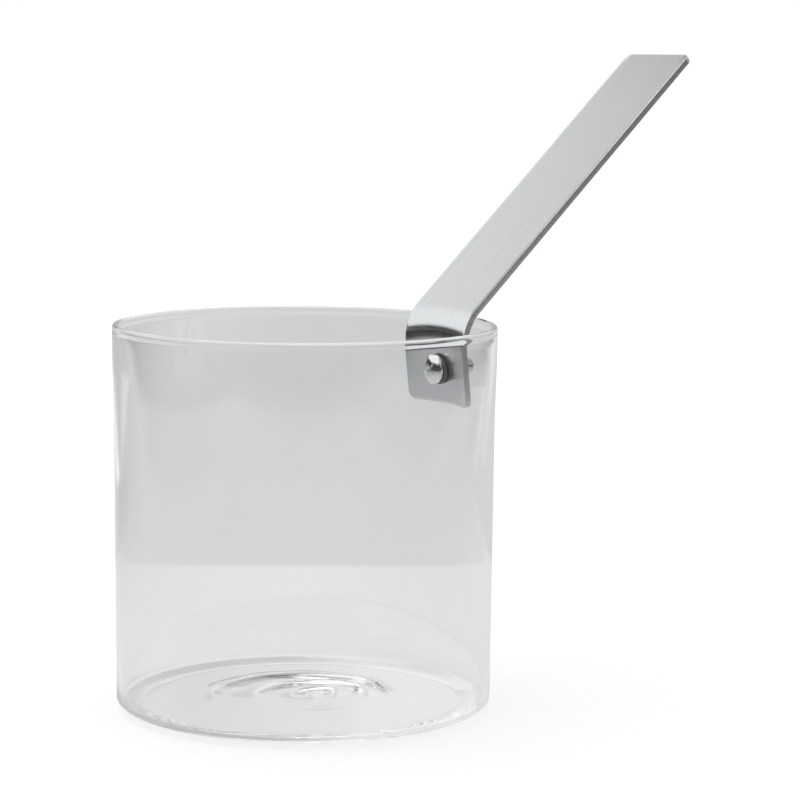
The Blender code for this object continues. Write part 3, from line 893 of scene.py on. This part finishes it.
def make_handle_nut():
    """Cuts the nut from a hexagon bar, turns its corners down, and drills and countersinks it."""
    flat = NUT_ACROSS_FLATS / 2
    corners = flat / math.cos(math.radians(30))
    stand = Matrix.Translation((0, 0, NUT_THICKNESS / 2)) @ Matrix.Rotation(math.radians(30), 4, "Z")
    shape = bmesh.new()
    bmesh.ops.create_cone(shape, cap_ends=True, segments=6, radius1=corners, radius2=corners,
                          depth=NUT_THICKNESS, matrix=stand)
    nut = mesh_object("satin_hex_nut", shape)
    body = turned_object("nut_chamfers", [
        (0.0, 0.0), (flat - NUT_CHAMFER / 2, 0.0), (corners, NUT_CHAMFER),
        (corners, NUT_THICKNESS - NUT_CHAMFER), (flat - NUT_CHAMFER / 2, NUT_THICKNESS),
        (0.0, NUT_THICKNESS)], NUT_TURNS)
    cut_by(nut, body, operation="INTERSECT")
    hole = NUT_BORE / 2
    mouth = hole + NUT_COUNTERSINK + DRILL_PAST
    drill = turned_object("nut_drill", [
        (0.0, -DRILL_PAST), (mouth, -DRILL_PAST), (hole, NUT_COUNTERSINK),
        (hole, NUT_THICKNESS - NUT_COUNTERSINK), (mouth, NUT_THICKNESS + DRILL_PAST),
        (0.0, NUT_THICKNESS + DRILL_PAST)], DRILL_TURNS)
    cut_by(nut, drill)
    nut.data.transform(across_the_screw(NUT_SEAT))
    nut.data.materials.clear()
    nut.data.materials.append(bright_steel_material("satin_nut_steel", SATIN, 0.25))
    nut.data.shade_smooth()
    nut.data.set_sharp_from_angle(angle=NUT_FOLD_ANGLE)
    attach(nut, "root")
    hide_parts("handle_nut")


make_handle_nut()

# Camera
# It stands in front of the pan, turned away from the handle's side and as high as the handle's end, and
# looks slightly down through a long lens, as in the photograph.

CAMERA_TURN = math.radians(32.0)
CAMERA_DISTANCE = 0.8600
CAMERA_HEIGHT = 0.2053
CAMERA_PITCH = math.radians(7.172)
CAMERA_YAW = math.radians(1.982)
CAMERA_ROLL = math.radians(0.520)
CAMERA_LENS = 124.59
CAMERA_RIGHT = (math.cos(CAMERA_TURN), -math.sin(CAMERA_TURN), 0.0)
CAMERA_AWAY = (math.sin(CAMERA_TURN), math.cos(CAMERA_TURN), 0.0)


def make_camera():
    """Sets up the camera and makes it the scene's own."""
    data = bpy.data.cameras.new("photo_camera")
    data.lens = CAMERA_LENS
    data.sensor_width = 36.0
    data.clip_start = 0.01
    data.clip_end = 100.0
    made = new_object("photo_camera", data)
    place = (-CAMERA_DISTANCE * CAMERA_AWAY[0], -CAMERA_DISTANCE * CAMERA_AWAY[1], CAMERA_HEIGHT)
    heading = Matrix.Rotation(-(CAMERA_TURN + CAMERA_YAW), 4, "Z")
    tilt = Matrix.Rotation(math.pi / 2 - CAMERA_PITCH, 4, "X")
    roll = Matrix.Rotation(CAMERA_ROLL, 4, "Z")
    made.matrix_world = Matrix.Translation(place) @ heading @ tilt @ roll
    bpy.context.scene.camera = made


make_camera()

# Floor
# The camera sees white paper with the pan's soft shadow. Glass and steel see the floor glow with painted
# light
# and shade instead: a white sheet under the pan, painted darker to the left, on a painted dark floor, with
# two painted pale patches behind it and a painted contact shadow under the base's edge.

FLOOR_RADIUS = 6.0
FLOOR_DROP = 0.0004
PALE_LIGHT = (0.985, 0.993, 1.0, 1.0)
WHITE_LIGHT = (1.0, 1.0, 1.0, 1.0)
WHITE_PAPER = (0.9, 0.9, 0.9, 1.0)
WHITE_GLOW = 1.1

# Soft edges, as where each starts and ends, in metres right of the pan's axis, away behind it or round it.
SHEET_FRONT = (-0.75, -0.45)
SHEET_LEFT = (-0.56, -0.385)
SHEET_LEFT_SLANT = 0.7
SHEET_RIGHT = (0.60, 0.85)
SHEET_CREASE = (0.232, 0.246)
LEFT_PAINTED_PATCH = ((-0.34, -0.26), (-0.21, -0.16))
LEFT_PAINTED_PATCH_DEPTH = ((0.30, 0.45), (0.80, 1.00))
RIGHT_PAINTED_PATCH = ((0.30, 0.40), (0.60, 0.80))
RIGHT_PAINTED_PATCH_FRONT = (0.15, 0.40)
SHADOW_RING = ((0.048, 0.056), (0.060, 0.075))
LEFT_SHADE = (-0.42, -0.05)

# Painted brightness of the floor's glow, or where a change of it starts and ends, and how bright it is at
# each.
NEAR_SHEET = (0.0, 0.06, 0.80, 0.765)
FAR_SHEET = (-0.12, 0.0, 0.73, 0.67)
LEFT_SHEET = (0.30, 0.50, 0.58, 0.76)
LEFT_PAINTED_PATCH_LIGHT = 0.95
RIGHT_PAINTED_PATCH_LIGHT = 0.78
PAINTED_DARK_FLOOR = (-0.30, 0.30, 0.07, 0.18)
SHADOW = (-0.01, 0.02, 0.35, 0.0)
WHITE_SHARE = (0.12, 0.50, 0.7, 1.0)


def rightward_and_away(tree, way):
    """How far a place or direction lies to the right of the pan and behind it, as the photograph shows it."""
    dots = [add(tree, "ShaderNodeVectorMath", {0: way, 1: axis}, operation="DOT_PRODUCT")
            for axis in (CAMERA_RIGHT, CAMERA_AWAY)]
    return [dot.outputs["Value"] for dot in dots]


def passage(tree, value, start, end, low=0.0, high=1.0):
    """A smooth passage from low to high while a value passes from start to end."""
    return mapped(tree, value, start, end, low, high, "SMOOTHSTEP")


def band(tree, value, rise, fall):
    """1 between two soft edges of a value, and 0 outside them."""
    return times(tree, passage(tree, value, *rise), passage(tree, value, *fall, 1.0, 0.0))


def blend(tree, share, first, second):
    """The first value where the share is 0, and the second where it is 1."""
    return add(tree, "ShaderNodeMix", {0: share, 2: first, 3: second}).outputs[0]


def mirrored_ray(tree):
    """1 where light comes by way of a mirror or glass, and 0 elsewhere, with the light path's outputs."""
    path = add(tree, "ShaderNodeLightPath").outputs
    return calc(tree, "MAXIMUM", path["Is Glossy Ray"], path["Is Transmission Ray"]), path


def floor_level(tree, place, radius):
    """How bright glass and steel show each place of the floor, as painted light and shade."""
    right, away = rightward_and_away(tree, place)
    near_sheet = passage(tree, right, *NEAR_SHEET)
    far_sheet = passage(tree, right, *FAR_SHEET)
    sheet = passage(tree, away, *SHEET_CREASE, near_sheet, far_sheet)
    left_sheet = passage(tree, away, *LEFT_SHEET)
    # Painted shade: the sheet glows darker to the left.
    sheet = times(tree, sheet, passage(tree, right, *LEFT_SHADE, left_sheet, 1.0))
    # Two painted pale patches of light on the floor behind the pan, seen only in glass and steel.
    left_painted_patch = times(tree, band(tree, right, *LEFT_PAINTED_PATCH), band(tree, away, *LEFT_PAINTED_PATCH_DEPTH),
                      LEFT_PAINTED_PATCH_LIGHT)
    right_painted_patch = times(tree, band(tree, right, *RIGHT_PAINTED_PATCH), passage(tree, away, *RIGHT_PAINTED_PATCH_FRONT),
                       RIGHT_PAINTED_PATCH_LIGHT)
    sheet = calc(tree, "MAXIMUM", sheet, calc(tree, "MAXIMUM", left_painted_patch, right_painted_patch))

    behind = times(tree, calc(tree, "MAXIMUM", away, 0.0), SHEET_LEFT_SLANT)
    on_sheet = times(tree, passage(tree, away, *SHEET_FRONT),
                     passage(tree, calc(tree, "ADD", right, behind), *SHEET_LEFT),
                     passage(tree, right, *SHEET_RIGHT, 1.0, 0.0))
    # Painted shade: off the sheet the floor glows dark for glass and steel.
    painted_dark_floor = passage(tree, right, *PAINTED_DARK_FLOOR)
    # A painted contact shadow: the glow is darker in a ring under the base's edge, on the left.
    shadow = times(tree, band(tree, radius, *SHADOW_RING), passage(tree, right, *SHADOW))
    return times(tree, blend(tree, on_sheet, painted_dark_floor, sheet), calc(tree, "SUBTRACT", 1.0, shadow))


def make_floor():
    """Lays the floor just under the pan and gives it its paper."""
    shape = bmesh.new()
    bmesh.ops.create_circle(shape, cap_ends=True, segments=64, radius=FLOOR_RADIUS)
    bmesh.ops.translate(shape, vec=(0.0, 0.0, -FLOOR_DROP), verts=shape.verts)
    floor = mesh_object("studio_floor", shape)
    made, tree, shader = new_material("studio_floor_paper")
    tree.nodes.remove(shader)
    place = object_place(tree)
    radius = length_of(tree, place)
    level = floor_level(tree, place, radius)
    mirrored, path = mirrored_ray(tree)
    # The floor glows for glass and steel at its painted level of light and shade.
    painted_mirror_glow = add(tree, "ShaderNodeEmission", {"Color": PALE_LIGHT, "Strength": level}).outputs[0]
    white_glow = add(tree, "ShaderNodeEmission", {"Color": WHITE_LIGHT, "Strength": WHITE_GLOW}).outputs[0]
    paper = add(tree, "ShaderNodeBsdfDiffuse", {"Color": WHITE_PAPER}).outputs[0]
    shown = times(tree, path["Is Camera Ray"], passage(tree, radius, *WHITE_SHARE))
    seen = add(tree, "ShaderNodeMixShader", {0: shown, 1: paper, 2: white_glow}).outputs[0]
    mix = add(tree, "ShaderNodeMixShader", {0: mirrored, 1: seen, 2: painted_mirror_glow}).outputs[0]
    tree.links.new(mix, tree.nodes["Material Output"].inputs["Surface"])
    floor.data.materials.append(made)


make_floor()

# Surround and lamp
# A room that steel and glass show as dark low down on the left and in front, and pale above, with bright
# panels behind the pan. One large soft lamp hangs over it. The camera sees plain white.

WORLD_LIGHT = 0.75
LAMP_PLACE = (-0.2, 0.3, 1.4)
LAMP_AIM = (0.0, 0.0, 0.08)
LAMP_SIZE = 1.0
LAMP_POWER = 6.0
LIGHT_BOUNCES = 400

# Soft edges, as where each starts and ends: how far up, right or away a direction points, from -1 to 1.
LOW_TOP = (0.15, 0.20)
MIDDLE_TOP = (0.245, 0.258)
PANEL_FOOT = (0.35, 0.375)
PANEL_TOP = (0.48, 0.60)
CEILING_FROM = (0.68, 0.80)
FAR_LEFT = (-0.75, -0.50)
LEFT_WALL = (-0.45, -0.15)
RIGHT_WALL = (0.20, 0.30)
BEHIND_PAN = (-0.30, 0.30)
LEFT_OF_PAN = (-0.70, -0.40)

# Brightness, or where a change of brightness starts and ends, and how bright it is at each.
LOW_LIGHT = 0.70
FAR_LEFT_LIGHT = 0.02
MIDDLE_LIGHT = (-0.08, 0.06, 0.62, 0.88)
LEFT_LIGHT = 1.3
UNDER_PANEL = (0.01, 0.05, 0.03, 1.2)
PANEL_LIGHT = 1.8
OVER_PANEL = 0.55
RIGHT_LIGHT = 1.0
LEFT_PANEL_LIGHT = (0.60, 0.66, 1.26, 0.22)
FRONT_LIGHT = (0.20, 0.60, 0.15, 0.65)
CEILING_LIGHT = (-0.25, 0.15, 0.2, 1.1)


def surround_level(tree, way):
    """How bright glass and steel show each direction of the room, from low behind the pan to the ceiling."""
    up = parts_of(tree, way)[2]
    right, away = rightward_and_away(tree, way)
    left = passage(tree, right, *LEFT_WALL, 1.0, 0.0)
    low = blend(tree, passage(tree, right, *FAR_LEFT, 1.0, 0.0), LOW_LIGHT, FAR_LEFT_LIGHT)
    middle = blend(tree, left, passage(tree, right, *MIDDLE_LIGHT), LEFT_LIGHT)

    under = passage(tree, right, *UNDER_PANEL)
    panel = calc(tree, "MINIMUM", passage(tree, up, *PANEL_FOOT, under, PANEL_LIGHT),
                 passage(tree, up, *PANEL_TOP, PANEL_LIGHT, OVER_PANEL))
    panel = blend(tree, passage(tree, right, *RIGHT_WALL), panel, RIGHT_LIGHT)
    high = blend(tree, left, panel, passage(tree, up, *LEFT_PANEL_LIGHT))

    behind = blend(tree, passage(tree, up, *LOW_TOP), low, middle)
    behind = blend(tree, passage(tree, up, *MIDDLE_TOP), behind, high)
    in_front = passage(tree, up, *FRONT_LIGHT)
    beside = passage(tree, right, *LEFT_OF_PAN, 1.0, 0.0)
    walls = blend(tree, calc(tree, "MAXIMUM", passage(tree, away, *BEHIND_PAN), beside), in_front, behind)
    ceiling = passage(tree, right, *CEILING_LIGHT)
    return blend(tree, passage(tree, up, *CEILING_FROM), walls, ceiling)


def make_surround():
    """Paints the world: white to the camera, even light on the pan, and the room in what mirrors it."""
    world = bpy.data.worlds.new("studio_surround")
    bpy.context.scene.world = world
    world.use_nodes = True
    tree = world.node_tree
    tree.nodes.clear()
    way = add(tree, "ShaderNodeTexCoord").outputs["Generated"]
    level = surround_level(tree, way)
    mirrored, path = mirrored_ray(tree)
    room = add(tree, "ShaderNodeBackground", {"Color": PALE_LIGHT, "Strength": level}).outputs[0]
    white = add(tree, "ShaderNodeBackground", {"Color": WHITE_LIGHT, "Strength": 1.0}).outputs[0]
    light = add(tree, "ShaderNodeBackground", {"Color": WHITE_LIGHT, "Strength": WORLD_LIGHT}).outputs[0]
    lit = add(tree, "ShaderNodeMixShader", {0: mirrored, 1: light, 2: room}).outputs[0]
    shown = add(tree, "ShaderNodeMixShader", {0: path["Is Camera Ray"], 1: lit, 2: white}).outputs[0]
    add(tree, "ShaderNodeOutputWorld", {"Surface": shown})


def make_lamp():
    """Hangs the soft lamp over the pan."""
    data = bpy.data.lights.new("overhead_softbox", "AREA")
    data.shape = "SQUARE"
    data.size = LAMP_SIZE
    data.energy = LAMP_POWER
    made = new_object("overhead_softbox", data)
    made.location = LAMP_PLACE
    made.rotation_euler = (Vector(LAMP_AIM) - Vector(LAMP_PLACE)).to_track_quat("-Z", "Y").to_euler()


make_surround()
make_lamp()

# Light that is guided inside the glass turns many times before it comes out, so the bounces are many.
bpy.context.scene.view_settings.view_transform = "Standard"
bpy.context.scene.cycles.max_bounces = LIGHT_BOUNCES
bpy.context.scene.cycles.glossy_bounces = LIGHT_BOUNCES
bpy.context.scene.cycles.transmission_bounces = LIGHT_BOUNCES
